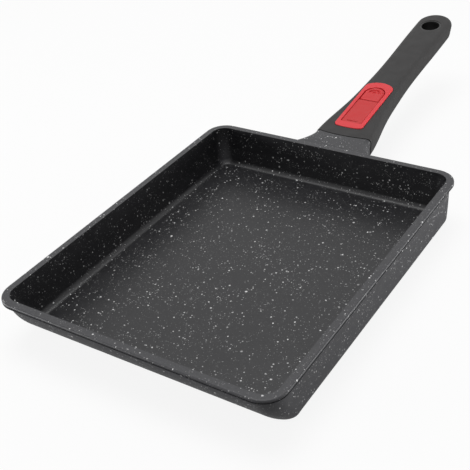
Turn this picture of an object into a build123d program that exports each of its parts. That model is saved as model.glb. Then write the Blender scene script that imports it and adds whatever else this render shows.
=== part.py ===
from build123d import *
from math import cos, pi, radians, sin, sqrt
import os

# A shallow oblong omelette pan with a flared rim, and a slim handle that pulls off its tongue.
# Millimetres. The pan stands on Z = 0, the middle of its rim is over the origin, and the handle
# points along +X. The wall opposite the handle leans out further than the other three.

os.makedirs("parts", exist_ok=True)

# Pan
pan_length = 200.0
pan_width = 160.0
pan_height = 27.5
floor_thickness = 4.0
rim_band = 4.2
rim_overhang = 2.3
rim_edge_height = 2.2
rim_taper_height = 2.0
rim_corner_radius = 12.0
rim_edge_radius = 0.9
rim_groove_depth = 0.5
rim_groove_width = 0.5
rim_groove_height = 25.75
side_outer_lean = 0.8
back_outer_lean = 1.8
front_outer_lean = 16.2
inner_lean = 2.6
front_inner_lean = 15.2
wall_bow = 1.9
wall_levels = (0.0, 0.2, 0.4, 0.62)
base_corner_radius = 8.8
base_edge_radius = 4.6
floor_corner_radius = 6.4
floor_edge_radius = 3.4

# Steel plate under the floor
plate_length = 138.0
plate_width = 112.0
plate_thickness = 0.8
plate_corner_radius = 20.0
plate_fit = 0.05

# Line of the handle, from the top of the rim
handle_rise = 7.5
handle_drop = 0.6
handle_end = 167.8
joint_place = 12.3
joint_width = 37.0
joint_bow = 3.5
joint_gap = 0.2

# Cast bridge between the pan and the handle
bridge_root_width = 62.0
bridge_crown_radius = 600.0
bridge_edge_radius = 1.2
bridge_reach = 16.0
bridge_flare_shares = (0.0, 0.02, 0.16, 0.375, 0.61, 1.0)
bridge_place_shares = (1.0, 0.72, 0.46, 0.2, 0.0, -0.3)

# Section of the handle
waist_width = 23.2
tail_width = 25.2
joint_depth = 16.0
tail_depth = 14.0
crown_radius = 120.0
top_edge_radius = 3.4
bottom_edge_radius = 4.6
joint_underside_share = 0.92
tail_underside_share = 0.78
flare_places_shares = (0.04, 0.13, 0.21, 0.29, 0.40, 0.50)
flare_width_shares = (1.0, 0.80, 0.52, 0.30, 0.14, 0.04)
tail_places_shares = (0.64, 0.80, 0.924)
tail_width_shares = (0.15, 0.75, 1.0)

# Shells
shell_wall = 2.2
parting_depth = 8.0
seal_thickness = 0.6
seal_inset = 0.35
face_fit = 0.05

# Tongue and its sleeve
tongue_width = 11.0
tongue_thickness = 2.2
tongue_depth = 4.1
tongue_reach = 27.0
tongue_root = 9.5
tongue_corner = 2.5
tongue_slot_length = 5.6
tongue_slot_width = 7.0
tongue_slot_margin = 3.4
tongue_fit = 0.2
tongue_screw_spacing = 6.4
tongue_screw_inset = 4.4
tongue_screw_radius = 1.25
tongue_screw_tip = 0.6
tongue_head_radius = 2.2
tongue_head_height = 1.5
tongue_head_sink = 1.4
sleeve_wall = 0.7
sleeve_clearance = 0.7
sleeve_length = 26.0
sleeve_tab_length = 7.0
sleeve_tab_reach = 11.2
window_margin = 0.6

# Leaf spring that catches the tongue
leaf_thickness = 0.6
leaf_width = 7.6
leaf_nose_width = 5.6
leaf_drop = 1.2
leaf_anchor_place = 86.0
leaf_tail = 4.0
leaf_nose_back = 0.5
leaf_nose_run = 4.6
leaf_nose_rise_share = 0.72
anchor_screw_radius = 1.1
anchor_screw_length = 3.6
anchor_head_radius = 2.2
anchor_head_height = 1.2
anchor_pad_radius = 3.7
washer_radius = 3.0
washer_thickness = 0.5
screw_fit = 0.05

# Red inlay
inlay_start = 21.3
inlay_end = 72.2
inlay_half_width = 9.3
inlay_shoulder = 4.0
inlay_bow = 1.2
inlay_depth = 2.0
inlay_proud = 0.45
inlay_fit = 0.3
inlay_start_radius = 2.8
inlay_end_radius = 4.2
inlay_edge_radius = 0.4
border_width = 2.5
start_border_width = 5.4
arch_border_width = 5.6
panel_sink = 0.4
panel_groove_width = 0.5
panel_groove_depth = 0.35
panel_groove_inset = 1.8
panel_groove_share = 0.55
tray_wall = 1.0
tray_margin = 1.3
tray_height = 1.4

# Thumb button
button_straight = 8.1
button_gap = 0.35
button_thickness = 1.9
button_sink = 0.15
ridge_width = 0.8
ridge_height = 0.45
ridge_shares = (0.78, 0.52, 0.26)
well_depth = 5.7
well_floor = 1.2
well_wall = 1.1
plunger_radius = 1.8
plunger_fit = 0.05
plunger_seat = 1.1
plunger_press_fit = 0.02
clip_radius = 3.0
clip_thickness = 0.5
clip_play = 0.15
groove_radius = 1.35
spring_wire = 0.5
spring_radius = 3.0
spring_turns = 3.0
contact_gap = 0.1

# Screws that close the shells
front_screw_place = 27.0
front_screw_spacing = 17.8
rear_screw_places = (103.0, 128.0)
seat_depth = 11.2
shell_screw_radius = 1.0
shell_screw_length = 6.6
shell_head_radius = 1.75
shell_head_height = 1.3
insert_radius = 1.6
insert_length = 3.0
insert_sink = 0.1
boss_radius = 2.4
pillar_radius = 2.6
drive_width = 1.8
drive_slot = 0.4
drive_depth = 0.7

# Hanging hole
hole_place = 149.2
hole_radius = 6.1
eyelet_wall = 1.0
eyelet_sink = 0.3
eyelet_flange = 0.4
eyelet_flange_thickness = 1.0
collar_wall = 1.3

# Length by which cutting tools run past what they cut
overrun = 3.0

# Directions worked out from the sizes above
handle_root = Vector(pan_length / 2, 0, pan_height - handle_drop)
along = Vector(cos(radians(handle_rise)), 0, sin(radians(handle_rise)))
upward = Vector(-sin(radians(handle_rise)), 0, cos(radians(handle_rise)))
joint_half = joint_width / 2
joint_radius = (joint_half ** 2 + joint_bow ** 2) / (2 * joint_bow)
joint_centre = joint_place + joint_radius
front_radius = joint_radius - joint_gap - seal_thickness - face_fit
tail_half = tail_width / 2
cap_place = handle_end - tail_half
tongue_bottom = tongue_depth + tongue_thickness
sleeve_top = tongue_depth - tongue_fit - sleeve_wall
sleeve_bottom = tongue_bottom + tongue_fit + sleeve_wall
sleeve_half = tongue_width / 2 + tongue_fit + sleeve_wall
tongue_tip = joint_place + tongue_reach
tongue_start = joint_place - tongue_root
slot_end = tongue_tip - tongue_slot_margin
slot_start = slot_end - tongue_slot_length
leaf_depth = sleeve_bottom + leaf_drop
opening_half = inlay_half_width - border_width
opening_start = inlay_start + start_border_width
arch_place = inlay_end - arch_border_width - opening_half
button_start = arch_place - button_straight
pad_top = button_sink - inlay_proud
pad_bottom = pad_top + button_thickness
well_bottom = well_depth + well_floor
plunger_bottom = leaf_depth - contact_gap
sleeve_start = joint_place + joint_radius - front_radius + shell_wall + sleeve_clearance
boss_depth = tongue_bottom + tongue_fit
clip_top = well_bottom + clip_play
eyelet_radius = hole_radius + eyelet_wall
collar_radius = eyelet_radius + collar_wall
flange_top = parting_depth - eyelet_flange_thickness / 2
flange_bottom = parting_depth + eyelet_flange_thickness / 2
leaf_middle = leaf_depth + leaf_thickness / 2
leaf_bottom = leaf_depth + leaf_thickness
nose_place = slot_end - leaf_nose_back - leaf_thickness / 2
nose_top = tongue_depth + leaf_nose_back
nose_low = nose_top + (leaf_middle - nose_top) * leaf_nose_rise_share
panel_length = button_start - button_gap - inlay_fit - opening_start
panel_half = opening_half - inlay_fit
spring_base = well_depth - contact_gap - spring_wire / 2
spring_height = spring_base - pad_bottom - contact_gap - spring_wire / 2
front_half = front_screw_spacing / 2
front_screw_points = [(front_screw_place, -front_half), (front_screw_place, front_half)]
shell_screw_points = front_screw_points + [(place, 0) for place in rear_screw_places]


def level(depth):
    """Plane in line with the handle's top, a given depth below it."""
    return Plane(origin=handle_root - upward * depth, x_dir=along, z_dir=upward)


def level_down(depth):
    """The same plane, turned to face down."""
    return Plane(origin=handle_root - upward * depth, x_dir=along, z_dir=-upward)


def across(place):
    """Plane square to the handle, a given distance from the rim."""
    return Plane(origin=handle_root + along * place, x_dir=(0, 1, 0), z_dir=along)


def flank(offset):
    """Upright plane along the handle, a given distance to its right."""
    return Plane(origin=handle_root + Vector(0, -1, 0) * offset, x_dir=along, z_dir=(0, -1, 0))


def ease(place, joint_value, tail_value):
    """Value at a place along the handle, which changes fastest near the joint."""
    share = min(max((place - joint_place) / (cap_place - joint_place), 0), 1)
    return joint_value + (tail_value - joint_value) * sin(share * pi / 2)


def depth_at(place):
    """Depth of the handle at a place along it."""
    return ease(place, joint_depth, tail_depth)


def handle_section(place, width, depth, inset, crown=crown_radius, top_radius=top_edge_radius):
    """Section of the handle: a crowned top, rounded edges and sides that lean in below."""
    half = width / 2 - inset
    low_half = width / 2 * ease(place, joint_underside_share, tail_underside_share) - inset
    sag = crown - sqrt(crown ** 2 - (width / 2) ** 2)
    with BuildSketch(across(place)) as section:
        with BuildLine():
            ThreePointArc((-half, -sag - inset), (0, -inset), (half, -sag - inset))
            Line((half, -sag - inset), (low_half, inset - depth))
            Line((low_half, inset - depth), (-low_half, inset - depth))
            Line((-low_half, inset - depth), (-half, -sag - inset))
        make_face()
        fillet(section.vertices().group_by(Axis.Y)[-1], top_radius - inset * tail_underside_share)
        fillet(section.vertices().group_by(Axis.Y)[0], bottom_edge_radius - inset)
    return section


def handle_form(inset):
    """Solid of the handle's outside, drawn in by an even amount, with its bowed front and round end."""
    span = cap_place - joint_place
    places = [joint_place - joint_bow]
    widths = [joint_width]
    for place_share, width_share in zip(flare_places_shares, flare_width_shares):
        places.append(joint_place + place_share * span)
        widths.append(waist_width + width_share * (joint_width - waist_width))
    for place_share, width_share in zip(tail_places_shares, tail_width_shares):
        places.append(joint_place + place_share * span)
        widths.append(waist_width + width_share * (tail_width - waist_width))
    places.append(cap_place)
    widths.append(tail_width)
    sections = []
    for place, width in zip(places, widths):
        sections.append(handle_section(place, width, depth_at(place), inset).sketch)
    with BuildSketch(across(cap_place)) as half_section:
        add(handle_section(cap_place, tail_width, depth_at(cap_place), inset).sketch_local)
        Rectangle(tail_width, joint_depth * 2, align=(Align.MAX, Align.CENTER), mode=Mode.INTERSECT)
    with BuildPart() as form:
        loft(sections)
        turning_axis = Axis(origin=handle_root + along * cap_place, direction=upward)
        revolve(half_section.sketch, axis=turning_axis, revolution_arc=180)
        with BuildSketch(level(joint_depth + overrun)):
            Rectangle(joint_centre + overrun, joint_width * 2, align=(Align.MIN, Align.CENTER))
            with Locations((joint_centre, 0)):
                Circle(front_radius - inset, mode=Mode.SUBTRACT)
        extrude(amount=joint_depth + overrun * 2, mode=Mode.SUBTRACT)
    return form.part


def inlay_outline(plane, grow):
    """Outline of the red inlay, grown by an even amount."""
    half = inlay_half_width + grow
    start = inlay_start - grow
    end = inlay_end + grow
    with BuildSketch(plane) as outline:
        with BuildLine():
            ThreePointArc((start + inlay_bow, half), (start, 0), (start + inlay_bow, -half))
            Line((start + inlay_bow, -half), (end - inlay_shoulder, -half))
            ThreePointArc((end - inlay_shoulder, -half), (end, 0), (end - inlay_shoulder, half))
            Line((end - inlay_shoulder, half), (start + inlay_bow, half))
        make_face()
        fillet(outline.vertices().group_by(Axis.X)[0], inlay_start_radius + grow)
        fillet(outline.vertices().group_by(Axis.X)[-1], inlay_end_radius + grow)
    return outline


def arched_outline(plane, start, shrink):
    """Outline with a square start and a half-round far end, shrunk by an even amount."""
    half = opening_half - shrink
    with BuildSketch(plane) as outline:
        with BuildLine():
            Line((start, half), (start, -half))
            Line((start, -half), (arch_place, -half))
            ThreePointArc((arch_place, -half), (arch_place + half, 0), (arch_place, half))
            Line((arch_place, half), (start, half))
        make_face()
    return outline


def tongue_passage_form():
    """Solid of the way that the tongue takes through the gasket and the handle's front wall."""
    with BuildPart() as passage:
        with BuildSketch(level(tongue_bottom + tongue_fit)):
            with Locations((joint_place - joint_bow, 0)):
                Rectangle(
                    sleeve_start - joint_place + joint_bow * 2,
                    tongue_width + tongue_fit * 2,
                    align=(Align.MIN, Align.CENTER),
                )
        extrude(amount=tongue_thickness + tongue_fit * 2)
    return passage.part


def screw_form(plane, points, radius, length, head_radius, head_height):
    """Pan-head screws: shanks rise from the plane, and slotted heads hang below it."""
    with BuildPart() as screws:
        for point in points:
            with BuildSketch(plane):
                with Locations(point):
                    Circle(radius)
            extrude(amount=length)
            with BuildSketch(plane):
                with Locations(point):
                    Circle(head_radius)
            extrude(amount=-head_height)
            with BuildSketch(plane.offset(-head_height)):
                with Locations(point):
                    Rectangle(drive_width, drive_slot)
                    Rectangle(drive_slot, drive_width)
            extrude(amount=drive_depth, mode=Mode.SUBTRACT)
    return screws.part


# Sizes of the pan's shapes, worked out from the sizes above

tongue_screw_place = tongue_start + tongue_screw_inset
tongue_screw_half = tongue_screw_spacing / 2
tongue_screw_points = [(tongue_screw_place, -tongue_screw_half), (tongue_screw_place, tongue_screw_half)]
tongue_seat_depth = joint_depth - tongue_head_height - tongue_head_sink
tongue_screw_length = tongue_seat_depth - tongue_depth - tongue_screw_tip
wall_top_length = pan_length - rim_overhang * 2
wall_top_width = pan_width - rim_overhang * 2
base_length = wall_top_length - back_outer_lean - front_outer_lean
base_width = wall_top_width - side_outer_lean * 2
base_middle = (front_outer_lean - back_outer_lean) / 2
mouth_length = pan_length - rim_band * 2
mouth_width = pan_width - rim_band * 2
floor_length = mouth_length - inner_lean - front_inner_lean
floor_width = mouth_width - inner_lean * 2
floor_middle = (front_inner_lean - inner_lean) / 2
wall_top_radius = rim_corner_radius - rim_overhang
mouth_radius = rim_corner_radius - rim_band
taper_base = pan_height - rim_edge_height - rim_taper_height
taper_share = taper_base / pan_height
cavity_depth = pan_height - floor_thickness


def cavity_section(share):
    """Outline of the inner walls, a share of the way up from the floor to the rim."""
    lean = (1 - share) ** wall_bow
    with BuildSketch(Plane.XY.offset(floor_thickness + cavity_depth * share)) as section:
        with Locations((floor_middle * lean, 0)):
            RectangleRounded(
                mouth_length + (floor_length - mouth_length) * lean,
                mouth_width + (floor_width - mouth_width) * lean,
                mouth_radius + (floor_corner_radius - mouth_radius) * lean,
            )
    return section


def wall_section(share):
    """Outline of the outer walls, a share of the way up from the underside to the rim."""
    lean = (1 - share) ** wall_bow
    with BuildSketch(Plane.XY.offset(pan_height * share)) as section:
        with Locations((base_middle * lean, 0)):
            RectangleRounded(
                wall_top_length + (base_length - wall_top_length) * lean,
                wall_top_width + (base_width - wall_top_width) * lean,
                wall_top_radius + (base_corner_radius - wall_top_radius) * lean,
            )
    return section


# Pan body, whose walls lean most near the floor

with BuildPart() as cavity:
    loft([cavity_section(level_share).sketch for level_share in wall_levels + (1.0,)])
    fillet(cavity.faces().sort_by(Axis.Z)[0].edges(), floor_edge_radius)
    extrude(cavity.faces().sort_by(Axis.Z)[-1], amount=overrun)

with BuildPart() as pan_body:
    loft([wall_section(level_share).sketch for level_share in wall_levels + (taper_share, 1.0)])
    fillet(pan_body.faces().sort_by(Axis.Z)[0].edges(), base_edge_radius)

    # Flared rim, which tapers back into the wall
    with BuildSketch(Plane.XY.offset(pan_height - rim_edge_height)) as rim_outline:
        RectangleRounded(pan_length, pan_width, rim_corner_radius)
    loft([wall_section(taper_share).sketch, rim_outline.sketch], ruled=True)
    with BuildSketch(Plane.XY.offset(pan_height - rim_edge_height)):
        RectangleRounded(pan_length, pan_width, rim_corner_radius)
    extrude(amount=rim_edge_height)
    fillet(pan_body.faces().sort_by(Axis.Z)[-1].edges(), rim_edge_radius)
    with BuildSketch(Plane.XY.offset(rim_groove_height)):
        RectangleRounded(pan_length + overrun, pan_width + overrun, rim_corner_radius)
        RectangleRounded(
            pan_length - rim_groove_depth * 2,
            pan_width - rim_groove_depth * 2,
            rim_corner_radius - rim_groove_depth,
            mode=Mode.SUBTRACT,
        )
    extrude(amount=rim_groove_width, mode=Mode.SUBTRACT)

    # Bridge to the handle, flared at its root and bowed where the handle meets it
    bridge_sections = []
    for place_share, flare_share in zip(bridge_place_shares, bridge_flare_shares):
        bridge_width = joint_width + flare_share * (bridge_root_width - joint_width)
        bridge_crown = crown_radius + flare_share * (bridge_crown_radius - crown_radius)
        bridge_edge = top_edge_radius + flare_share * (bridge_edge_radius - top_edge_radius)
        bridge_section = handle_section(
            place_share * bridge_reach, bridge_width, joint_depth, 0, bridge_crown, bridge_edge
        )
        bridge_sections.append(bridge_section.sketch)
    loft(bridge_sections)
    with BuildSketch(level(joint_depth + overrun)):
        with Locations((joint_centre, 0)):
            Circle(joint_radius)
    extrude(amount=joint_depth + overrun * 2, mode=Mode.SUBTRACT)
    add(cavity.part, mode=Mode.SUBTRACT)

    # Slot for the tongue, and the screw holes below it
    with BuildSketch(level(tongue_bottom + face_fit)):
        with Locations((tongue_start - face_fit, 0)):
            Rectangle(bridge_reach, tongue_width + face_fit * 2, align=(Align.MIN, Align.CENTER))
    extrude(amount=tongue_thickness + face_fit * 2, mode=Mode.SUBTRACT)
    with BuildSketch(level(joint_depth + overrun)):
        with Locations(*tongue_screw_points):
            Circle(tongue_screw_radius + screw_fit)
    extrude(amount=joint_depth + overrun - tongue_bottom, mode=Mode.SUBTRACT)
    with BuildSketch(level(joint_depth + overrun)):
        with Locations(*tongue_screw_points):
            Circle(tongue_head_radius + screw_fit)
    extrude(amount=joint_depth + overrun - tongue_seat_depth, mode=Mode.SUBTRACT)

    # Recess for the steel plate
    with BuildSketch(Plane.XY):
        with Locations((base_middle, 0)):
            RectangleRounded(plate_length + plate_fit * 2, plate_width + plate_fit * 2, plate_corner_radius)
    extrude(amount=plate_thickness, mode=Mode.SUBTRACT)
pan_body.part.label = "pan_body"
export_step(pan_body.part, "parts/pan_body.step")

# Steel plate in the underside

with BuildPart() as base_plate:
    with BuildSketch(Plane.XY):
        with Locations((base_middle, 0)):
            RectangleRounded(plate_length, plate_width, plate_corner_radius)
    extrude(amount=plate_thickness)
base_plate.part.label = "base_plate"
export_step(base_plate.part, "parts/base_plate.step")

# Tongue that the handle slides on

with BuildPart() as handle_tongue:
    with BuildSketch(level(tongue_bottom)) as tongue_outline:
        with Locations((tongue_start, 0)):
            Rectangle(tongue_tip - tongue_start, tongue_width, align=(Align.MIN, Align.CENTER))
        chamfer(tongue_outline.vertices().group_by(Axis.X)[-1], tongue_corner)
        with Locations((slot_start, 0)):
            Rectangle(
                tongue_slot_length,
                tongue_slot_width,
                align=(Align.MIN, Align.CENTER),
                mode=Mode.SUBTRACT,
            )
        with Locations(*tongue_screw_points):
            Circle(tongue_screw_radius + screw_fit, mode=Mode.SUBTRACT)
    extrude(amount=tongue_thickness)
handle_tongue.part.label = "handle_tongue"
export_step(handle_tongue.part, "parts/handle_tongue.step")

tongue_screws = screw_form(
    level(tongue_seat_depth),
    tongue_screw_points,
    tongue_screw_radius,
    tongue_screw_length,
    tongue_head_radius,
    tongue_head_height,
)
tongue_screws.label = "tongue_screws"
export_step(tongue_screws, "parts/tongue_screws.step")

# Gasket between the bridge and the handle

tongue_passage = tongue_passage_form()

with BuildPart() as front_seal:
    seal_sections = []
    for seal_place in (joint_place - joint_bow, joint_place + joint_bow * 2):
        seal_sections.append(handle_section(seal_place, joint_width, joint_depth, seal_inset).sketch)
    loft(seal_sections)
    with BuildSketch(level(joint_depth)):
        with Locations((joint_centre, 0)):
            Circle(joint_radius - joint_gap)
            Circle(joint_radius - joint_gap - seal_thickness, mode=Mode.SUBTRACT)
    extrude(amount=joint_depth, mode=Mode.INTERSECT)
    add(tongue_passage, mode=Mode.SUBTRACT)
front_seal.part.label = "front_seal"
export_step(front_seal.part, "parts/front_seal.step")

# Handle shells

outer_form = handle_form(0)
inner_form = handle_form(shell_wall)

with BuildPart() as upper_shell:
    add(outer_form)
    add(inner_form, mode=Mode.SUBTRACT)
    add(tongue_passage, mode=Mode.SUBTRACT)

    # Tray under the inlay, and the well that the thumb pad sinks into
    tray_outline = inlay_outline(level(inlay_depth + tray_wall), tray_margin)
    extrude(tray_outline.sketch, amount=tray_height)
    well_start = button_start - button_gap
    well_outline = arched_outline(level(well_bottom), well_start - well_wall, -well_wall)
    extrude(well_outline.sketch, amount=well_bottom - inlay_depth)

    # Screw bosses, and the collar round the hanging hole
    with BuildSketch(level(boss_depth)):
        with Locations(*shell_screw_points):
            Circle(boss_radius)
    extrude(amount=boss_depth - shell_wall / 2)
    with BuildSketch(level(flange_top)):
        with Locations((hole_place, 0)):
            Circle(collar_radius)
    extrude(amount=flange_top)
    add(outer_form, mode=Mode.INTERSECT)

    # Everything below the parting line, and the openings from above
    with BuildSketch(level(parting_depth)):
        Rectangle(handle_end * 2, joint_width * 2)
    extrude(amount=-joint_depth, mode=Mode.SUBTRACT)
    pocket_outline = inlay_outline(level(inlay_depth), inlay_fit)
    extrude(pocket_outline.sketch, amount=inlay_depth + overrun, mode=Mode.SUBTRACT)
    pad_outline = arched_outline(level(well_depth), well_start, 0)
    extrude(pad_outline.sketch, amount=well_depth, mode=Mode.SUBTRACT)
    with BuildSketch(level(well_bottom + overrun)):
        with Locations((arch_place, 0)):
            Circle(plunger_radius + plunger_fit)
    extrude(amount=well_floor + overrun * 2, mode=Mode.SUBTRACT)
    with BuildSketch(level(boss_depth)):
        with Locations(*shell_screw_points):
            Circle(insert_radius)
    extrude(amount=insert_length + insert_sink, mode=Mode.SUBTRACT)
    with BuildSketch(level(parting_depth)):
        with Locations((hole_place, 0)):
            Circle(eyelet_radius + face_fit)
    extrude(amount=parting_depth + overrun, mode=Mode.SUBTRACT)
upper_shell.part.label = "upper_shell"
export_step(upper_shell.part, "parts/upper_shell.step")

with BuildPart() as lower_shell:
    add(outer_form)
    add(inner_form, mode=Mode.SUBTRACT)
    with BuildSketch(level(parting_depth)):
        Rectangle(handle_end * 2, joint_width * 2)
    extrude(amount=parting_depth + overrun, mode=Mode.SUBTRACT)

    # Screw pillars, the leaf spring's pad, and the collar round the hanging hole
    for pillar_point in shell_screw_points:
        pillar_top = sleeve_bottom if pillar_point[0] == front_screw_place else boss_depth
        with BuildSketch(level(joint_depth)):
            with Locations(pillar_point):
                Circle(pillar_radius)
        extrude(amount=joint_depth - pillar_top)
    with BuildSketch(level(joint_depth)):
        with Locations((leaf_anchor_place, 0)):
            Circle(anchor_pad_radius)
    extrude(amount=joint_depth - leaf_bottom)
    with BuildSketch(level(joint_depth)):
        with Locations((hole_place, 0)):
            Circle(collar_radius)
    extrude(amount=joint_depth - flange_bottom)
    add(outer_form, mode=Mode.INTERSECT)

    # Screw holes and the hanging hole
    with BuildSketch(level(joint_depth + overrun)):
        with Locations(*shell_screw_points):
            Circle(shell_head_radius + screw_fit)
    extrude(amount=joint_depth + overrun - seat_depth, mode=Mode.SUBTRACT)
    with BuildSketch(level(seat_depth)):
        with Locations(*shell_screw_points):
            Circle(shell_screw_radius + screw_fit)
    extrude(amount=seat_depth, mode=Mode.SUBTRACT)
    with BuildSketch(level(leaf_bottom)):
        with Locations((leaf_anchor_place, 0)):
            Circle(anchor_screw_radius)
    extrude(amount=-anchor_screw_length, mode=Mode.SUBTRACT)
    with BuildSketch(level(joint_depth + overrun)):
        with Locations((hole_place, 0)):
            Circle(eyelet_radius + face_fit)
    extrude(amount=joint_depth + overrun - parting_depth, mode=Mode.SUBTRACT)
lower_shell.part.label = "lower_shell"
export_step(lower_shell.part, "parts/lower_shell.step")

shell_screws = screw_form(
    level(seat_depth),
    shell_screw_points,
    shell_screw_radius,
    shell_screw_length,
    shell_head_radius,
    shell_head_height,
)
shell_screws.label = "shell_screws"
export_step(shell_screws, "parts/shell_screws.step")

with BuildPart() as shell_inserts:
    with BuildSketch(level(boss_depth - insert_sink)):
        with Locations(*shell_screw_points):
            Circle(insert_radius)
            Circle(shell_screw_radius + screw_fit, mode=Mode.SUBTRACT)
    extrude(amount=insert_length)
shell_inserts.part.label = "shell_inserts"
export_step(shell_inserts.part, "parts/shell_inserts.step")

# Sleeve that guides the tongue

with BuildPart() as socket_sleeve:
    with BuildSketch(across(sleeve_start)):
        with Locations((0, -(sleeve_top + sleeve_bottom) / 2)):
            Rectangle(sleeve_half * 2, sleeve_bottom - sleeve_top)
            Rectangle(tongue_width + tongue_fit * 2, tongue_thickness + tongue_fit * 2, mode=Mode.SUBTRACT)
    extrude(amount=sleeve_length)
    with BuildSketch(level(sleeve_bottom)):
        with Locations((front_screw_place, 0)):
            Rectangle(sleeve_tab_length, sleeve_tab_reach * 2)
        with Locations(*front_screw_points):
            Circle(shell_screw_radius + screw_fit, mode=Mode.SUBTRACT)
    extrude(amount=sleeve_wall)
    with BuildSketch(level(sleeve_bottom + overrun)):
        with Locations((slot_start - window_margin, 0)):
            Rectangle(
                tongue_slot_length + window_margin * 2,
                tongue_slot_width,
                align=(Align.MIN, Align.CENTER),
            )
    extrude(amount=overrun + sleeve_wall, mode=Mode.SUBTRACT)
socket_sleeve.part.label = "socket_sleeve"
export_step(socket_sleeve.part, "parts/socket_sleeve.step")

# Leaf spring, whose hooked nose catches the end of the tongue's slot

with BuildPart() as catch_spring:
    with BuildSketch(flank(-leaf_width / 2)):
        with BuildLine() as leaf_line:
            Polyline(
                (leaf_anchor_place + leaf_tail, -leaf_middle),
                (nose_place, -leaf_middle),
                (nose_place, -nose_top),
                (nose_place - leaf_nose_run, -nose_low),
            )
        trace(leaf_line.line, line_width=leaf_thickness)
    extrude(amount=leaf_width)
    with BuildSketch(level(leaf_bottom + overrun)):
        with Locations((slot_end + window_margin, 0)):
            Rectangle(tongue_reach, leaf_width + overrun, align=(Align.MAX, Align.CENTER))
            Rectangle(
                tongue_reach,
                leaf_nose_width,
                align=(Align.MAX, Align.CENTER),
                mode=Mode.SUBTRACT,
            )
    extrude(amount=leaf_bottom + overrun, mode=Mode.SUBTRACT)
    with BuildSketch(level(leaf_bottom + overrun)):
        with Locations((leaf_anchor_place, 0)):
            Circle(anchor_screw_radius + screw_fit)
    extrude(amount=overrun * 2, mode=Mode.SUBTRACT)
catch_spring.part.label = "catch_spring"
export_step(catch_spring.part, "parts/catch_spring.step")

with BuildPart() as catch_washer:
    with BuildSketch(level(leaf_depth)):
        with Locations((leaf_anchor_place, 0)):
            Circle(washer_radius)
            Circle(anchor_screw_radius + screw_fit, mode=Mode.SUBTRACT)
    extrude(amount=washer_thickness)
catch_washer.part.label = "catch_washer"
export_step(catch_washer.part, "parts/catch_washer.step")

catch_screw = screw_form(
    level_down(leaf_depth - washer_thickness),
    [(leaf_anchor_place, 0)],
    anchor_screw_radius,
    anchor_screw_length,
    anchor_head_radius,
    anchor_head_height,
)
catch_screw.label = "catch_screw"
export_step(catch_screw, "parts/catch_screw.step")

# Red inlay

with BuildPart() as inlay_frame:
    frame_outline = inlay_outline(level(inlay_depth - face_fit), 0)
    extrude(frame_outline.sketch, amount=inlay_depth - face_fit + inlay_proud)
    opening_outline = arched_outline(level(inlay_depth), opening_start, 0)
    extrude(opening_outline.sketch, amount=inlay_depth + overrun, mode=Mode.SUBTRACT)
    top_edges = inlay_frame.faces().sort_by(Axis(handle_root, upward))[-1].edges()
    fillet(top_edges, inlay_edge_radius)
inlay_frame.part.label = "inlay_frame"
export_step(inlay_frame.part, "parts/inlay_frame.step")

with BuildPart() as inlay_panel:
    with BuildSketch(level(inlay_depth - face_fit)):
        with Locations((opening_start + inlay_fit, 0)):
            Rectangle(panel_length, panel_half * 2, align=(Align.MIN, Align.CENTER))
    extrude(amount=inlay_depth - face_fit + inlay_proud - panel_sink)
    with BuildSketch(level(panel_sink - inlay_proud + panel_groove_depth)):
        with Locations((opening_start + panel_groove_inset, 0)):
            Rectangle(panel_groove_width, panel_half * 2 * panel_groove_share)
    extrude(amount=panel_groove_depth + overrun, mode=Mode.SUBTRACT)
inlay_panel.part.label = "inlay_panel"
export_step(inlay_panel.part, "parts/inlay_panel.step")

# Thumb button and its plunger

with BuildPart() as release_button:
    button_outline = arched_outline(level(pad_bottom), button_start, button_gap)
    extrude(button_outline.sketch, amount=button_thickness)
    with BuildSketch(level(pad_top + face_fit)):
        with Locations((arch_place, 0)):
            for ridge_share in ridge_shares:
                Circle(opening_half * ridge_share + ridge_width / 2)
                Circle(opening_half * ridge_share - ridge_width / 2, mode=Mode.SUBTRACT)
            Rectangle(
                opening_half,
                opening_half * 2,
                align=(Align.MAX, Align.CENTER),
                mode=Mode.SUBTRACT,
            )
    extrude(amount=ridge_height + face_fit)
    with BuildSketch(level(pad_bottom)):
        with Locations((arch_place, 0)):
            Circle(plunger_radius + plunger_press_fit)
    extrude(amount=plunger_seat, mode=Mode.SUBTRACT)
release_button.part.label = "release_button"
export_step(release_button.part, "parts/release_button.step")

with BuildPart() as button_plunger:
    with BuildSketch(level(plunger_bottom)):
        with Locations((arch_place, 0)):
            Circle(plunger_radius)
    extrude(amount=plunger_bottom - pad_bottom + plunger_seat)
    with BuildSketch(level(clip_top + clip_thickness + face_fit)):
        with Locations((arch_place, 0)):
            Circle(plunger_radius + face_fit)
            Circle(groove_radius, mode=Mode.SUBTRACT)
    extrude(amount=clip_thickness + face_fit * 2, mode=Mode.SUBTRACT)
button_plunger.part.label = "button_plunger"
export_step(button_plunger.part, "parts/button_plunger.step")

with BuildPart() as plunger_clip:
    with BuildSketch(level(clip_top + clip_thickness)):
        with Locations((arch_place, 0)):
            Circle(clip_radius)
            Circle(groove_radius + plunger_press_fit, mode=Mode.SUBTRACT)
            Rectangle(
                clip_radius * 2,
                groove_radius * 2,
                align=(Align.MIN, Align.CENTER),
                mode=Mode.SUBTRACT,
            )
    extrude(amount=clip_thickness)
plunger_clip.part.label = "plunger_clip"
export_step(plunger_clip.part, "parts/plunger_clip.step")

with BuildPart() as button_spring:
    with BuildLine():
        coil = Helix(
            pitch=spring_height / spring_turns,
            height=spring_height,
            radius=spring_radius,
            center=handle_root + along * arch_place - upward * spring_base,
            direction=upward,
        )
    with BuildSketch(Plane(origin=coil @ 0, z_dir=coil % 0)):
        Circle(spring_wire / 2)
    sweep()
button_spring.part.label = "button_spring"
export_step(button_spring.part, "parts/button_spring.step")

# Liner of the hanging hole

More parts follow.
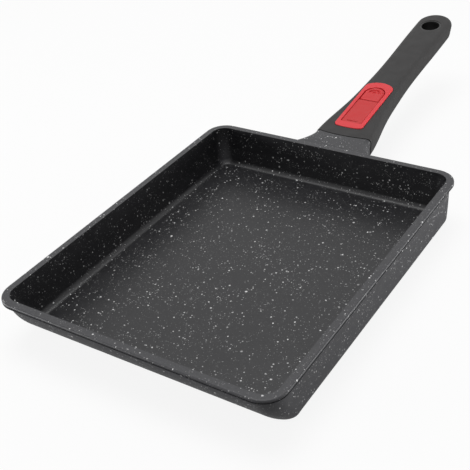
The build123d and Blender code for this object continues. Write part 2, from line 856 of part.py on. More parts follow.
with BuildPart() as hanging_eyelet:
    with BuildSketch(level(depth_at(hole_place) - eyelet_sink)):
        with Locations((hole_place, 0)):
            Circle(eyelet_radius)
    extrude(amount=depth_at(hole_place) - eyelet_sink * 2)
    with BuildSketch(level(flange_bottom)):
        with Locations((hole_place, 0)):
            Circle(eyelet_radius + eyelet_flange)
    extrude(amount=eyelet_flange_thickness)
    with BuildSketch(level(depth_at(hole_place))):
        with Locations((hole_place, 0)):
            Circle(hole_radius)
    extrude(amount=depth_at(hole_place), mode=Mode.SUBTRACT)
hanging_eyelet.part.label = "hanging_eyelet"
export_step(hanging_eyelet.part, "parts/hanging_eyelet.step")
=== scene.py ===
"""A shallow omelette pan with a pull-off handle, dressed for one still view."""

import logging
from dataclasses import dataclass, field
from enum import Enum
from math import cos, radians, sin

import bmesh
import bpy
import numpy as np
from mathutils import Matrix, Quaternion, Vector


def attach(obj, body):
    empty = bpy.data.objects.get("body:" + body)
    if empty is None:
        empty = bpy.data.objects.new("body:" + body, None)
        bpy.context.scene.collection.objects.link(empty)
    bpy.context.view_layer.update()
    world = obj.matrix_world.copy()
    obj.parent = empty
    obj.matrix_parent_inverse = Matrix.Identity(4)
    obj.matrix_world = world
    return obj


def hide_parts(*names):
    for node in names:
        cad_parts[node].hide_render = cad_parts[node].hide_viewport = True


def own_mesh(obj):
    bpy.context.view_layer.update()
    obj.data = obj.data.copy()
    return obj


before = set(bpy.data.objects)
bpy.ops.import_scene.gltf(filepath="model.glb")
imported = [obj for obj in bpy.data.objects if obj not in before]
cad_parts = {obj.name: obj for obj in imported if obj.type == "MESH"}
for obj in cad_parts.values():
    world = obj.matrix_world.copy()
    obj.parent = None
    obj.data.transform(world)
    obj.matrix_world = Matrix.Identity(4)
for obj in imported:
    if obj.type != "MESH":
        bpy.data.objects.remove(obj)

MM = 0.001
log = logging.getLogger("omelette_pan")

Colour = tuple[float, float, float]
Point = tuple[float, float, float]


class Body(Enum):
    """Rigid bodies that new pieces ride on."""

    HANDLE = "handle"
    BUTTON = "thumb_button"


class NodeSheet:
    """Short ways to lay out one material's shader nodes."""

    def __init__(self, name: str) -> None:
        """Starts an empty material.

        Args:
            name: the material's name.
        """
        self.material = bpy.data.materials.new(name)
        self.material.use_nodes = True
        self.tree = self.material.node_tree
        self.shader = self.tree.nodes["Principled BSDF"]
        self.place = self.tree.nodes.new("ShaderNodeTexCoord").outputs["Object"]

    def put(self, socket: bpy.types.NodeSocket, value: object) -> None:
        """Links an output to a socket, or sets the socket to a plain value.

        Args:
            socket: the input to feed.
            value: an output socket, or a number or colour.
        """
        if isinstance(value, bpy.types.NodeSocket):
            self.tree.links.new(value, socket)
        else:
            socket.default_value = value

    def maths(
        self, operation: str, first: object, second: object = 0.0, clamp: bool = False
    ) -> bpy.types.NodeSocket:
        """One sum of two values.

        Args:
            operation: the Math node's operation.
            first: the first number or output.
            second: the second number or output.
            clamp: whether the answer is kept from 0 to 1.

        Returns:
            The answer's output socket.
        """
        node = self.tree.nodes.new("ShaderNodeMath")
        node.operation = operation
        node.use_clamp = clamp
        self.put(node.inputs[0], first)
        self.put(node.inputs[1], second)
        return node.outputs[0]

    def noise(self, size_mm: float, detail: float = 3.0, place: object = None) -> bpy.types.NodeSocket:
        """Soft noise whose lumps are about one size.

        Args:
            size_mm: the size of a lump.
            detail: how many finer layers are added.
            place: the coordinates, or None for the object's own.

        Returns:
            The noise's value, from 0 to 1.
        """
        node = self.tree.nodes.new("ShaderNodeTexNoise")
        node.inputs["Scale"].default_value = 1 / (size_mm * MM)
        node.inputs["Detail"].default_value = detail
        self.put(node.inputs["Vector"], place or self.place)
        return node.outputs["Fac"]

    def spread(
        self, value: object, low: float, high: float, start: float = 0.3, end: float = 0.7
    ) -> bpy.types.NodeSocket:
        """Stretches a value over a wanted range.

        Args:
            value: the output to stretch.
            low: what the start becomes.
            high: what the end becomes.
            start: the value at which the range starts.
            end: the value at which the range ends.

        Returns:
            The stretched value.
        """
        node = self.tree.nodes.new("ShaderNodeMapRange")
        self.put(node.inputs["Value"], value)
        node.inputs["From Min"].default_value = start
        node.inputs["From Max"].default_value = end
        node.inputs["To Min"].default_value = low
        node.inputs["To Max"].default_value = high
        return node.outputs["Result"]

    def blend(self, share: object, first: object, second: object) -> bpy.types.NodeSocket:
        """Mixes two colours.

        Args:
            share: how much of the second colour shows.
            first: the colour, or output, at a share of 0.
            second: the colour, or output, at a share of 1.

        Returns:
            The mixed colour.
        """
        node = self.tree.nodes.new("ShaderNodeMix")
        node.data_type = "RGBA"
        self.put(node.inputs["Factor"], share)
        self.put(node.inputs["A"], _opaque(first))
        self.put(node.inputs["B"], _opaque(second))
        return node.outputs["Result"]

    def relief(self, height: object, depth_mm: float) -> None:
        """Gives the surface a fine relief.

        Args:
            height: the relief's output, from 0 to 1.
            depth_mm: how deep the relief is.
        """
        node = self.tree.nodes.new("ShaderNodeBump")
        node.inputs["Distance"].default_value = depth_mm * MM
        self.put(node.inputs["Height"], height)
        self.tree.links.new(node.outputs["Normal"], self.shader.inputs["Normal"])


def _opaque(value: object) -> object:
    """Adds a full alpha to a plain colour, and leaves an output alone."""
    return (*value, 1.0) if isinstance(value, tuple) else value


def fresh_piece(
    name: str, points: np.ndarray, faces: list[list[int]], material: bpy.types.Material
) -> bpy.types.Object:
    """Makes a smooth-shaded object from points and faces.

    Args:
        name: the object's name.
        points: rows of x, y, z in metres.
        faces: the corner numbers of each face, anticlockwise from outside.
        material: its finish.

    Returns:
        The object, at the origin.
    """
    mesh = bpy.data.meshes.new(name)
    mesh.from_pydata(points.tolist(), [], faces)
    mesh.polygons.foreach_set("use_smooth", np.ones(len(mesh.polygons), bool))
    mesh.materials.append(material)
    mesh.update()
    piece = bpy.data.objects.new(name, mesh)
    bpy.context.scene.collection.objects.link(piece)
    log.info("built %s with %d faces", name, len(mesh.polygons))
    return piece


@dataclass(frozen=True)
class SpeckLayer:
    """One size of pale flecks in the coat."""

    cell_mm: float
    share: float
    radius_mm: float
    strength: float
    clustered: bool = False


@dataclass(frozen=True)
class InnerWalls:
    """Where the pan's inner surface ends: the mouth's rounded oblong, which shrinks towards the floor."""

    floor_height: float = 4.0
    rim_height: float = 27.5
    half_length: float = 96.1
    half_width: float = 76.1
    corner: float = 8.1
    front_lean: float = 15.2
    other_lean: float = 2.6
    bow: float = 1.9
    edge: float = 0.3
    underside: float = 2.0

    def share(self, sheet: NodeSheet) -> bpy.types.NodeSocket:
        """How far a point is inside: 1 on the floor and inner walls, 0 on the rim and outside.

        With k = ((rim - z) / (rim - floor)) ** bow, the oblong at height z has its middle at
        x = k * (front_lean - other_lean) / 2 and loses k * the leans from its sides. The distance
        to it is length(max(|p| - half sides + corner, 0)) - corner.

        Args:
            sheet: the material to add to.

        Returns:
            The share, from 0 to 1.
        """
        parts = sheet.tree.nodes.new("ShaderNodeSeparateXYZ")
        sheet.put(parts.inputs[0], sheet.place)
        depth = sheet.spread(parts.outputs["Z"], 1.0, 0.0, self.floor_height * MM, self.rim_height * MM)
        lean = sheet.maths("POWER", depth, self.bow)
        middle = sheet.maths("MULTIPLY", lean, (self.front_lean - self.other_lean) / 2 * MM)
        length = sheet.maths("MULTIPLY", lean, (self.front_lean + self.other_lean) / 2 * MM)
        width = sheet.maths("MULTIPLY", lean, self.other_lean * MM)
        along = sheet.maths("ABSOLUTE", sheet.maths("SUBTRACT", parts.outputs["X"], middle))
        along = sheet.maths("SUBTRACT", along, (self.half_length - self.corner) * MM)
        along = sheet.maths("ADD", along, length)
        across = sheet.maths("ABSOLUTE", parts.outputs["Y"])
        across = sheet.maths("SUBTRACT", across, (self.half_width - self.corner) * MM)
        across = sheet.maths("ADD", across, width)
        along = sheet.maths("POWER", sheet.maths("MAXIMUM", along, 0.0), 2.0)
        across = sheet.maths("POWER", sheet.maths("MAXIMUM", across, 0.0), 2.0)
        reach = sheet.maths("SQRT", sheet.maths("ADD", along, across))
        inside = sheet.spread(reach, 1.0, 0.0, (self.corner - self.edge) * MM, self.corner * MM)
        above = sheet.maths("GREATER_THAN", parts.outputs["Z"], self.underside * MM)
        return sheet.maths("MULTIPLY", inside, above)


@dataclass(frozen=True)
class GraniteCoat:
    """Non-stick coat with pale flecks: near black inside the pan and dark grey on the rim and outside; this
    two-tone coat is partly painted shade in the pan's hollow and partly painted light on the rim and
    outside.
    """

    name: str = "granite_coat"
    # The near-black inner ground is partly painted shade of the pan's hollow; the lighter outer ground is
    # partly painted light on the rim and outside.
    inner_ground_and_hollow_shade: Colour = (0.0068, 0.0068, 0.0078)
    outer_ground_and_painted_light: Colour = (0.027, 0.027, 0.030)
    fleck: Colour = (0.86, 0.86, 0.86)
    outer_lift: float = 1.5
    inner_lift: float = 2.2
    mottle_mm: float = 0.9
    outer_roughness: float = 0.42
    inner_roughness: float = 0.36
    gloss: float = 0.4
    wobble_size_mm: float = 0.8
    wobble_reach_mm: float = 0.7
    crowd_size_mm: float = 9.0
    crowd_range: tuple[float, float] = (0.3, 1.5)
    crowd_window: tuple[float, float] = (0.42, 0.66)
    patch_size_mm: float = 7.0
    patch_range: tuple[float, float] = (-0.03, 0.05)
    grain_mm: float = 1.4
    grain_depth_mm: float = 0.03
    fleck_sharpness: float = 16.0
    faintest_fleck: float = 0.3
    inner_walls: InnerWalls = InnerWalls()
    layers: tuple[SpeckLayer, ...] = (
        SpeckLayer(cell_mm=0.7, share=0.55, radius_mm=0.27, strength=0.24, clustered=True),
        SpeckLayer(cell_mm=1.0, share=0.40, radius_mm=0.37, strength=0.62, clustered=True),
        SpeckLayer(cell_mm=1.8, share=0.42, radius_mm=0.55, strength=1.0),
        SpeckLayer(cell_mm=5.0, share=0.40, radius_mm=0.85, strength=1.0),
    )

    def flecks(
        self, sheet: NodeSheet, layer: SpeckLayer, place: object, crowd: object
    ) -> bpy.types.NodeSocket:
        """Flecks of one layer: each cell of a cellular pattern holds a fleck of its own size, or none.

        Args:
            sheet: the material to add to.
            layer: the layer's sizes.
            place: the coordinates to use.
            crowd: how crowded the fine flecks are, from 0 to 1.

        Returns:
            How much fleck there is, from 0 to 1.
        """
        cells = sheet.tree.nodes.new("ShaderNodeTexVoronoi")
        cells.inputs["Scale"].default_value = 1 / (layer.cell_mm * MM)
        sheet.put(cells.inputs["Vector"], place)
        chance = sheet.tree.nodes.new("ShaderNodeSeparateColor")
        sheet.put(chance.inputs["Color"], cells.outputs["Color"])
        largest = layer.radius_mm / layer.cell_mm
        radius = sheet.spread(chance.outputs["Red"], 0.0, largest, 1 - layer.share, 1.0)
        inside = sheet.maths("SUBTRACT", radius, cells.outputs["Distance"])
        edge = sheet.maths("MULTIPLY", inside, self.fleck_sharpness, clamp=True)
        tint = sheet.spread(
            chance.outputs["Green"], self.faintest_fleck * layer.strength, layer.strength, 0.0, 1.0
        )
        if layer.clustered:
            tint = sheet.maths("MULTIPLY", tint, crowd)
        return sheet.maths("MULTIPLY", edge, tint)

    def make(self) -> bpy.types.Material:
        """Builds the material.

        Returns:
            The coat.
        """
        sheet = NodeSheet(self.name)
        wobble = sheet.tree.nodes.new("ShaderNodeTexNoise")
        wobble.inputs["Scale"].default_value = 1 / (self.wobble_size_mm * MM)
        sheet.put(wobble.inputs["Vector"], sheet.place)
        shift = sheet.tree.nodes.new("ShaderNodeVectorMath")
        shift.operation = "MULTIPLY_ADD"
        sheet.put(shift.inputs[0], wobble.outputs["Color"])
        shift.inputs[1].default_value = (self.wobble_reach_mm * MM,) * 3
        sheet.put(shift.inputs[2], sheet.place)
        crowd = sheet.spread(sheet.noise(self.crowd_size_mm, 2.0), *self.crowd_range, *self.crowd_window)
        amount: object = 0.0
        for layer in self.layers:
            amount = sheet.maths("MAXIMUM", amount, self.flecks(sheet, layer, shift.outputs[0], crowd))
        # The inside share swaps the lighter outer ground (partly painted light) for the near-black inner
        # ground (partly painted shade of the hollow).
        inner = self.inner_walls.share(sheet)
        ground = sheet.blend(inner, self.outer_ground_and_painted_light, self.inner_ground_and_hollow_shade)
        lighter = sheet.blend(inner, tuple(self.outer_lift * part for part in self.outer_ground_and_painted_light),
                              tuple(self.inner_lift * part for part in self.inner_ground_and_hollow_shade))
        ground = sheet.blend(sheet.spread(sheet.noise(self.mottle_mm), 0.0, 1.0), ground, lighter)
        colour = sheet.blend(sheet.maths("MINIMUM", amount, 1.0), ground, self.fleck)
        sheet.put(sheet.shader.inputs["Base Color"], colour)
        satin = sheet.blend(inner, (self.outer_roughness,) * 3, (self.inner_roughness,) * 3)
        patches = sheet.spread(sheet.noise(self.patch_size_mm), *self.patch_range)
        satin = sheet.maths("ADD", satin, patches)
        sheet.put(sheet.shader.inputs["Roughness"], satin)
        sheet.shader.inputs["Specular IOR Level"].default_value = self.gloss
        sheet.relief(sheet.noise(self.grain_mm), self.grain_depth_mm)
        return sheet.material


@dataclass(frozen=True)
class MouldedPlastic:
    """Moulded plastic with a fine grain and a slightly uneven sheen."""

    name: str
    colour: Colour
    roughness: float = 0.5
    gloss: float = 0.5
    grain_mm: float = 0.25
    grain_depth_mm: float = 0.012
    tint_size_mm: float = 9.0
    sheen_size_mm: float = 6.0
    unevenness: float = 0.06

    def make(self) -> bpy.types.Material:
        """Builds the material.

        Returns:
            The plastic.
        """
        sheet = NodeSheet(self.name)
        deeper = tuple(part * (1 - self.unevenness) for part in self.colour)
        colour = sheet.blend(sheet.noise(self.tint_size_mm), deeper, self.colour)
        sheet.put(sheet.shader.inputs["Base Color"], colour)
        low, high = self.roughness - self.unevenness, self.roughness + self.unevenness
        sheen = sheet.spread(sheet.noise(self.sheen_size_mm), low, high)
        sheet.put(sheet.shader.inputs["Roughness"], sheen)
        sheet.shader.inputs["Specular IOR Level"].default_value = self.gloss
        sheet.relief(sheet.noise(self.grain_mm, 2.0), self.grain_depth_mm)
        return sheet.material


@dataclass(frozen=True)
class BareMetal:
    """Metal with fine lines along one direction."""

    name: str
    colour: Colour
    roughness: float = 0.3
    line_mm: float = 0.12
    along_mm: float = 12.0
    line_depth_mm: float = 0.006
    darkest: float = 0.86
    smoother: float = 0.06
    rougher: float = 0.08

    def make(self) -> bpy.types.Material:
        """Builds the material.

        Returns:
            The metal.
        """
        sheet = NodeSheet(self.name)
        stretch = sheet.tree.nodes.new("ShaderNodeMapping")
        stretch.inputs["Scale"].default_value = (self.line_mm / self.along_mm, 1.0, 1.0)
        sheet.put(stretch.inputs["Vector"], sheet.place)
        lines = sheet.noise(self.line_mm, 2.0, stretch.outputs["Vector"])
        darker = tuple(part * self.darkest for part in self.colour)
        sheet.put(sheet.shader.inputs["Base Color"], sheet.blend(lines, darker, self.colour))
        uneven = sheet.spread(lines, self.roughness - self.smoother, self.roughness + self.rougher)
        sheet.put(sheet.shader.inputs["Roughness"], uneven)
        sheet.shader.inputs["Metallic"].default_value = 1.0
        sheet.relief(lines, self.line_depth_mm)
        return sheet.material


STAMPED_STEEL = BareMetal("stamped_steel", (0.55, 0.55, 0.56))
ZINC_PLATE = BareMetal("zinc_plate", (0.6, 0.6, 0.62))

Finish = GraniteCoat | MouldedPlastic | BareMetal


@dataclass
class FinishShelf:
    """Makes each finish once and hands out its material."""

    made: dict[Finish, bpy.types.Material] = field(default_factory=dict)

    def take(self, finish: Finish) -> bpy.types.Material:
        """Hands out the finish's material, making it the first time.

        Args:
            finish: the finish wanted.

        Returns:
            Its material.
        """
        if finish not in self.made:
            self.made[finish] = finish.make()
        return self.made[finish]

    def dress(self, finish: Finish, *nodes: str) -> None:
        """Puts a finish on pieces whose shape stays as packed.

        Args:
            finish: the finish to put on.
            nodes: the pieces' names.
        """
        material = self.take(finish)
        for name in nodes:
            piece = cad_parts[name]
            piece.data.materials.clear()
            piece.data.materials.append(material)
            log.info("dressed %s in %s", name, material.name)


@dataclass(frozen=True)
class HandleFrame:
    """The handle's own axes: x along it from the pan, y across it and z out of its top face."""

    root: Point = (0.100, 0.0, 0.0269)
    rise_degrees: float = 7.5

    def place(self, points: np.ndarray) -> np.ndarray:
        """Turns points by the rise about the y axis and moves them to the root.

        Args:
            points: rows of x, y, z in millimetres, in the handle's axes.

        Returns:
            The same points in metres, in the row frame.
        """
        return np.array(self.root) + self.turn(points) * MM

    def turn(self, directions: np.ndarray) -> np.ndarray:
        """Turns directions by the rise about the y axis.

        Args:
            directions: rows of x, y, z, or one such row, in the handle's axes.

        Returns:
            The same directions in the row frame's axes.
        """
        rise = radians(self.rise_degrees)
        axes = np.array([(cos(rise), 0.0, sin(rise)), (0.0, 1.0, 0.0), (-sin(rise), 0.0, cos(rise))])
        return directions @ axes


@dataclass
class ThumbPad:
    """Arched thumb pad with two rounded grip ridges in its half-round end."""

    finish: MouldedPlastic
    start: float = 51.95
    arch_place: float = 59.8
    half: float = 6.42
    top: float = 0.3
    bottom: float = -1.6
    edge: float = 0.85
    corner: float = 1.1
    ridge_radii: tuple[float, ...] = (2.0, 4.4)
    ridge_half: float = 0.95
    ridge_height: float = 0.44
    groove_depth: float = 0.55
    ridge_fade: float = 0.9
    rings: int = 56
    edge_rings: int = 7
    foot_edge: float = 0.15
    middle_shift: float = 0.6
    side_points: int = 24
    arch_points: int = 72

    def outline(self, inset: float) -> np.ndarray:
        """The pad's outline: a square start with rounded corners and a half circle at the far end.

        Args:
            inset: how far the outline is shrunk.

        Returns:
            Rows of x and y, once round, anticlockwise from the start's first corner.
        """
        half, start = self.half - inset, self.start + inset
        turn = np.linspace(np.pi / 2, 0, self.side_points // 3)
        first_x = start + self.corner * (1 - np.sin(turn))
        first_y = -half + self.corner * (1 - np.cos(turn))
        first = np.stack([first_x, first_y], 1)
        swing = np.linspace(-np.pi / 2, np.pi / 2, self.arch_points)
        arch = np.stack([self.arch_place + half * np.cos(swing), half * np.sin(swing)], 1)
        run = np.linspace(start + self.corner, self.arch_place, self.side_points)[1:-1]
        side = np.stack([run, np.full_like(run, -half)], 1)
        across = np.linspace(half - self.corner, -half + self.corner, self.side_points)[1:-1]
        front = np.stack([np.full_like(across, start), across], 1)
        mirror = np.array((1.0, -1.0))
        return np.concatenate([first, side, arch, side[::-1] * mirror, first[::-1] * mirror, front])

    def relief(self, points: np.ndarray) -> np.ndarray:
        """Height of the ridges and grooves: bumps of 1 - (distance / ridge_half) squared about each
        ridge's radius, on a shallow groove that reaches out past the last ridge, both fading out
        smoothly towards the pad's square start.

        Args:
            points: rows of x and y.

        Returns:
            The height above the pad's plain top.
        """
        reach = np.hypot(points[..., 0] - self.arch_place, points[..., 1])
        off = np.min([np.abs(reach - radius) for radius in self.ridge_radii], axis=0) / self.ridge_half
        bump = (self.ridge_height + self.groove_depth) * np.clip(1 - off ** 2, 0, None)
        last = self.ridge_radii[-1]
        field_share = np.clip((last + self.ridge_half - reach) / self.ridge_half, 0, 1)
        fade = np.clip((points[..., 0] - self.arch_place) / self.ridge_fade, 0, 1)
        fade = fade ** 2 * (3 - 2 * fade)
        return fade * (bump - self.groove_depth * field_share)

    def build(self, handle: HandleFrame, shelf: FinishShelf) -> bpy.types.Object:
        """Builds the pad as rings from the middle of its top, over the rounded edge and down to its foot.

        Args:
            handle: the handle's axes.
            shelf: where its finish comes from.

        Returns:
            The pad.
        """
        middle = np.array((self.arch_place - self.middle_shift, 0.0))
        inner = self.outline(self.edge)
        shares = np.linspace(0, 1, self.rings)[1:, None, None]
        flat = middle + (inner - middle) * shares
        levels = self.top + self.relief(flat)
        turns = np.linspace(0, np.pi / 2, self.edge_rings)[1:]
        rims = np.stack([self.outline(self.edge * (1 - np.sin(turn))) for turn in turns])
        drops = np.broadcast_to((self.top - self.edge * (1 - np.cos(turns)))[:, None], rims.shape[:2])
        feet = np.stack([self.outline(0.0), self.outline(self.foot_edge)])
        foot_heights = np.array((self.bottom + self.foot_edge, self.bottom))
        foot_levels = np.broadcast_to(foot_heights[:, None], feet.shape[:2])
        plan = np.concatenate([flat, rims, feet])
        heights = np.concatenate([levels, drops, foot_levels])
        rings, around = heights.shape
        points = np.concatenate([plan.reshape(-1, 2), heights.reshape(-1, 1)], 1)
        crown = np.array([(*middle, self.top + self.relief(middle)), (*middle, self.bottom)])
        points = np.concatenate([points, crown])
        index = np.arange(rings * around).reshape(rings, around)
        onward = np.roll(index, -1, axis=1)
        quads = np.stack([index[:-1], index[1:], onward[1:], onward[:-1]], -1).reshape(-1, 4)
        top_fan = np.stack([index[0], onward[0], np.full(around, rings * around)], -1)
        foot_fan = np.stack([onward[-1], index[-1], np.full(around, rings * around + 1)], -1)
        faces = quads.tolist() + top_fan.tolist() + foot_fan.tolist()
        pad = fresh_piece("thumb_pad", handle.place(points), faces, shelf.take(self.finish))
        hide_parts("release_button")
        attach(pad, Body.BUTTON.value)
        return pad


@dataclass
class GivingSpring:
    """A hidden spring with its node's own shape, copied whole and carried by the handle.
    """

    node: str
    finish: BareMetal
    axis: Point
    anchor: Point
    keep: float
    weld_mm: float = 0.001

    def build(self, handle: HandleFrame, shelf: FinishShelf) -> bpy.types.Object:
        """Copies the node's mesh, joins its loose triangles and ties it to the handle.

        Args:
            handle: the handle's axes.
            shelf: where its finish comes from.

        Returns:
            The spring.
        """
        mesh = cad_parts[self.node].data.copy()
        shape = bmesh.new()
        shape.from_mesh(mesh)
        bmesh.ops.remove_doubles(shape, verts=shape.verts, dist=self.weld_mm * MM)
        shape.to_mesh(mesh)
        shape.free()
        mesh.materials.clear()
        mesh.materials.append(shelf.take(self.finish))
        spring = bpy.data.objects.new("giving_" + self.node, mesh)
        bpy.context.scene.collection.objects.link(spring)
        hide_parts(self.node)
        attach(spring, Body.HANDLE.value)
        tuple(handle.place(np.array(self.anchor)).tolist())
        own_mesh(spring)
        log.info("built %s", spring.name)
        return spring


@dataclass
class PanSide:
    """The cast pan with its steel base plate, and the tongue that carries the handle."""

    coat: GraniteCoat = GraniteCoat()
    base: BareMetal = BareMetal("brushed_base", (0.62, 0.62, 0.63))
    stamping: BareMetal = STAMPED_STEEL
    plating: BareMetal = ZINC_PLATE

    def dress(self, shelf: FinishShelf) -> None:
        """Puts the finishes on the pan's pieces.

        Args:
            shelf: where the finishes come from.
        """
        shelf.dress(self.coat, "pan_body")
        shelf.dress(self.base, "base_plate")
        shelf.dress(self.stamping, "handle_tongue")
        shelf.dress(self.plating, "tongue_screws")


@dataclass
class Grip:
    """The two shells of the handle, with the front seal, the eyelet's lining and fasteners; the seal and
    lining are near black, partly real parts and partly painted shade of the joint and of the hanging hole.
    """

    soft_touch: MouldedPlastic = MouldedPlastic("soft_touch_grey", (0.036, 0.035, 0.035), 0.62, 0.25)
    # Dark front seal: partly a real gasket, partly painted shade of the joint between lug and handle.
    seal_and_joint_shade: MouldedPlastic = MouldedPlastic("black_gasket_and_joint_shade", (0.022, 0.022, 0.023), 0.6)
    # Near-black eyelet lining: partly a real liner, partly painted shade inside the hanging hole.
    liner_and_hole_shade: MouldedPlastic = MouldedPlastic("black_liner_and_hole_shade", (0.01, 0.01, 0.01), 0.4)
    plating: BareMetal = ZINC_PLATE
    brass: BareMetal = BareMetal("brass", (0.75, 0.56, 0.25))

    def dress(self, shelf: FinishShelf) -> None:
        """Puts the finishes on the grip's pieces.

        Args:
            shelf: where the finishes come from.
        """
        shelf.dress(self.soft_touch, "upper_shell", "lower_shell")
        # The seal's dark colour is partly painted shade of the joint.
        shelf.dress(self.seal_and_joint_shade, "front_seal")
        # The lining's near black is partly painted shade of the hole.
        shelf.dress(self.liner_and_hole_shade, "hanging_eyelet")
        shelf.dress(self.plating, "shell_screws")
        shelf.dress(self.brass, "shell_inserts")


@dataclass
class Catch:
    """The sleeve, leaf spring and plunger that hold the handle on the tongue."""

    stamping: BareMetal = STAMPED_STEEL
    plating: BareMetal = ZINC_PLATE
    sprung: BareMetal = BareMetal("spring_steel", (0.4, 0.4, 0.42))
    leaf_lean_degrees: float = 15.0

    def build(self, handle: HandleFrame, shelf: FinishShelf) -> None:
        """Dresses the catch's plain pieces and builds its two springs.

        Args:
            handle: the handle's axes.
            shelf: where the finishes come from.
        """
        shelf.dress(self.stamping, "socket_sleeve")
        shelf.dress(self.plating, "catch_screw", "catch_washer", "button_plunger")
        shelf.dress(self.sprung, "plunger_clip")
        lean = radians(self.leaf_lean_degrees)
        coil = GivingSpring("button_spring", self.sprung, axis=(0, 0, 1), anchor=(59.8, 0, -5.6), keep=0.62)
        leaf = GivingSpring(
            "catch_spring", self.sprung, axis=(-sin(lean), 0, cos(lean)), anchor=(83, 0, -8.7), keep=0.70
        )
        for spring in (coil, leaf):
            spring.build(handle, shelf)


@dataclass
class RedInlay:
    """The red frame, its panel and the thumb pad."""

    frame_finish: MouldedPlastic = MouldedPlastic("satin_red", (0.77, 0.045, 0.055), 0.45, 0.35)
    panel_finish: MouldedPlastic = MouldedPlastic("satin_red_deep", (0.60, 0.028, 0.030), 0.48, 0.35)
    pad_finish: MouldedPlastic = MouldedPlastic("satin_red_pad", (0.64, 0.028, 0.032), 0.46, 0.35)

    def build(self, handle: HandleFrame, shelf: FinishShelf) -> None:
        """Dresses the frame and panel and builds the pad.

        Args:
            handle: the handle's axes.
            shelf: where the finishes come from.
        """
        shelf.dress(self.frame_finish, "inlay_frame")
        shelf.dress(self.panel_finish, "inlay_panel")
        ThumbPad(self.pad_finish).build(handle, shelf)


@dataclass
class PhotoCamera:
    """Camera at the photograph's place, fitted to the rim's corners and the handle."""

    place: Point = (-0.3156, -0.2285, 0.2881)
    aim: Point = (0.0124, 0.0122, 0.0150)
    roll_degrees: float = 6.4
    lens_mm: float = 69.73

    def build(self) -> bpy.types.Object:
        """Adds the camera and makes it the scene's own.

        Returns:
            The camera object.
        """
        data = bpy.data.cameras.new("camera")
        data.lens = self.lens_mm
        camera = bpy.data.objects.new("camera", data)
        bpy.context.scene.collection.objects.link(camera)
        camera.location = self.place
        look = (Vector(self.aim) - Vector(self.place)).to_track_quat("-Z", "Y")
        camera.rotation_euler = (look @ Quaternion((0, 0, 1), -radians(self.roll_degrees))).to_euler()
        bpy.context.scene.camera = camera
        return camera


@dataclass
class SoftBox:
    """One large lamp, aimed at the pan."""

    name: str
    place: Point
    size: tuple[float, float]
    power: float
    aim: Point = (0.03, 0.0, 0.02)

    def build(self) -> None:
        """Adds the lamp."""
        data = bpy.data.lights.new(self.name, "AREA")
        data.shape = "RECTANGLE"
        data.size, data.size_y = self.size
        data.energy = self.power
        lamp = bpy.data.objects.new(self.name, data)
        lamp.location = self.place
        lamp.rotation_euler = (Vector(self.aim) - Vector(self.place)).to_track_quat("-Z", "Y").to_euler()
        lamp.visible_camera = False
        bpy.context.scene.collection.objects.link(lamp)


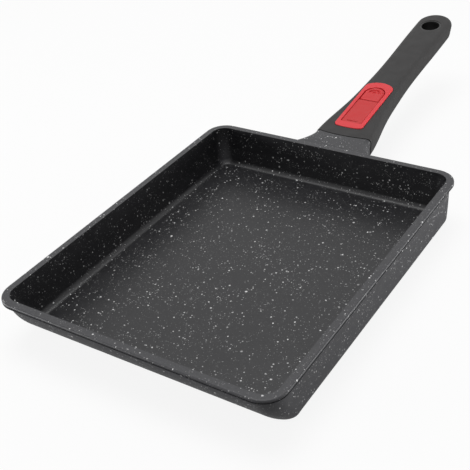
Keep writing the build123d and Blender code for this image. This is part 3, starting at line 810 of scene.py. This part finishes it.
@dataclass
class Studio:
    """Pale floor, even world light and soft lamps."""

    floor_half: float = 4.0
    floor_colour: Colour = (0.95, 0.95, 0.95)
    floor_bounce: Colour = (0.36, 0.36, 0.36)
    floor_glow: float = 0.88
    floor_roughness: float = 0.9
    floor_gloss: float = 0.1
    reflected_glow: float = 0.3
    world_strength: float = 0.28
    lamps: list[SoftBox] = field(default_factory=lambda: [
        SoftBox("lamp_above", (0.18, 0.16, 1.15), (0.8, 0.8), 8.4),
        SoftBox("lamp_left", (-0.34, 0.42, 0.045), (0.35, 0.07), 1.6),
        SoftBox("lamp_right", (0.22, -0.42, 0.03), (0.35, 0.05), 1.25),
    ])

    def build_floor(self) -> None:
        """Adds the floor, a square sheet under the pan, which looks white and keeps a soft shadow."""
        half = self.floor_half
        mesh = bpy.data.meshes.new("floor")
        corners = [(-half, -half, 0), (half, -half, 0), (half, half, 0), (-half, half, 0)]
        mesh.from_pydata(corners, [], [(0, 1, 2, 3)])
        floor = bpy.data.objects.new("floor", mesh)
        bpy.context.scene.collection.objects.link(floor)
        sheet = NodeSheet("floor_paper")
        sheet.shader.inputs["Roughness"].default_value = self.floor_roughness
        sheet.shader.inputs["Specular IOR Level"].default_value = self.floor_gloss
        glow = sheet.tree.nodes.new("ShaderNodeEmission")
        rays = sheet.tree.nodes.new("ShaderNodeLightPath")
        mix = sheet.tree.nodes.new("ShaderNodeMixShader")
        mirrored = sheet.maths(
            "MAXIMUM", rays.outputs["Is Glossy Ray"], rays.outputs["Is Transmission Ray"]
        )
        mirrored = sheet.maths("MULTIPLY", mirrored, self.reflected_glow)
        sheet.put(sheet.shader.inputs["Base Color"],
                  sheet.blend(rays.outputs["Is Camera Ray"], self.floor_bounce, self.floor_colour))
        seen = sheet.maths("MULTIPLY", rays.outputs["Is Camera Ray"], self.floor_glow)
        sheet.put(mix.inputs[0], sheet.maths("MAXIMUM", seen, mirrored))
        sheet.put(mix.inputs[1], sheet.shader.outputs[0])
        sheet.put(mix.inputs[2], glow.outputs[0])
        sheet.put(sheet.tree.nodes["Material Output"].inputs["Surface"], mix.outputs[0])
        mesh.materials.append(sheet.material)

    def build_world(self) -> None:
        """Lights the scene evenly, and shows plain white to the camera and in reflections."""
        world = bpy.data.worlds.new("studio")
        bpy.context.scene.world = world
        world.use_nodes = True
        tree = world.node_tree
        background = tree.nodes["Background"]
        background.inputs["Color"].default_value = (1, 1, 1, 1)
        rays = tree.nodes.new("ShaderNodeLightPath")
        seen = tree.nodes.new("ShaderNodeMath")
        seen.operation = "MAXIMUM"
        tree.links.new(rays.outputs["Is Camera Ray"], seen.inputs[0])
        tree.links.new(rays.outputs["Is Glossy Ray"], seen.inputs[1])
        level = tree.nodes.new("ShaderNodeMapRange")
        level.inputs["To Min"].default_value = self.world_strength
        level.inputs["To Max"].default_value = 1.0
        tree.links.new(seen.outputs[0], level.inputs["Value"])
        tree.links.new(level.outputs["Result"], background.inputs["Strength"])

    def build(self) -> None:
        """Builds the whole studio."""
        self.build_floor()
        self.build_world()
        for lamp in self.lamps:
            lamp.build()
        bpy.context.scene.view_settings.view_transform = "Standard"


def main() -> None:
    """Builds the studio and dresses each sub-assembly."""
    logging.basicConfig(level=logging.INFO, format="%(message)s")
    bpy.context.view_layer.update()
    PhotoCamera().build()
    Studio().build()
    handle = HandleFrame()
    shelf = FinishShelf()
    PanSide().dress(shelf)
    Grip().dress(shelf)
    RedInlay().build(handle, shelf)
    Catch().build(handle, shelf)


if __name__ == "__main__":
    main()
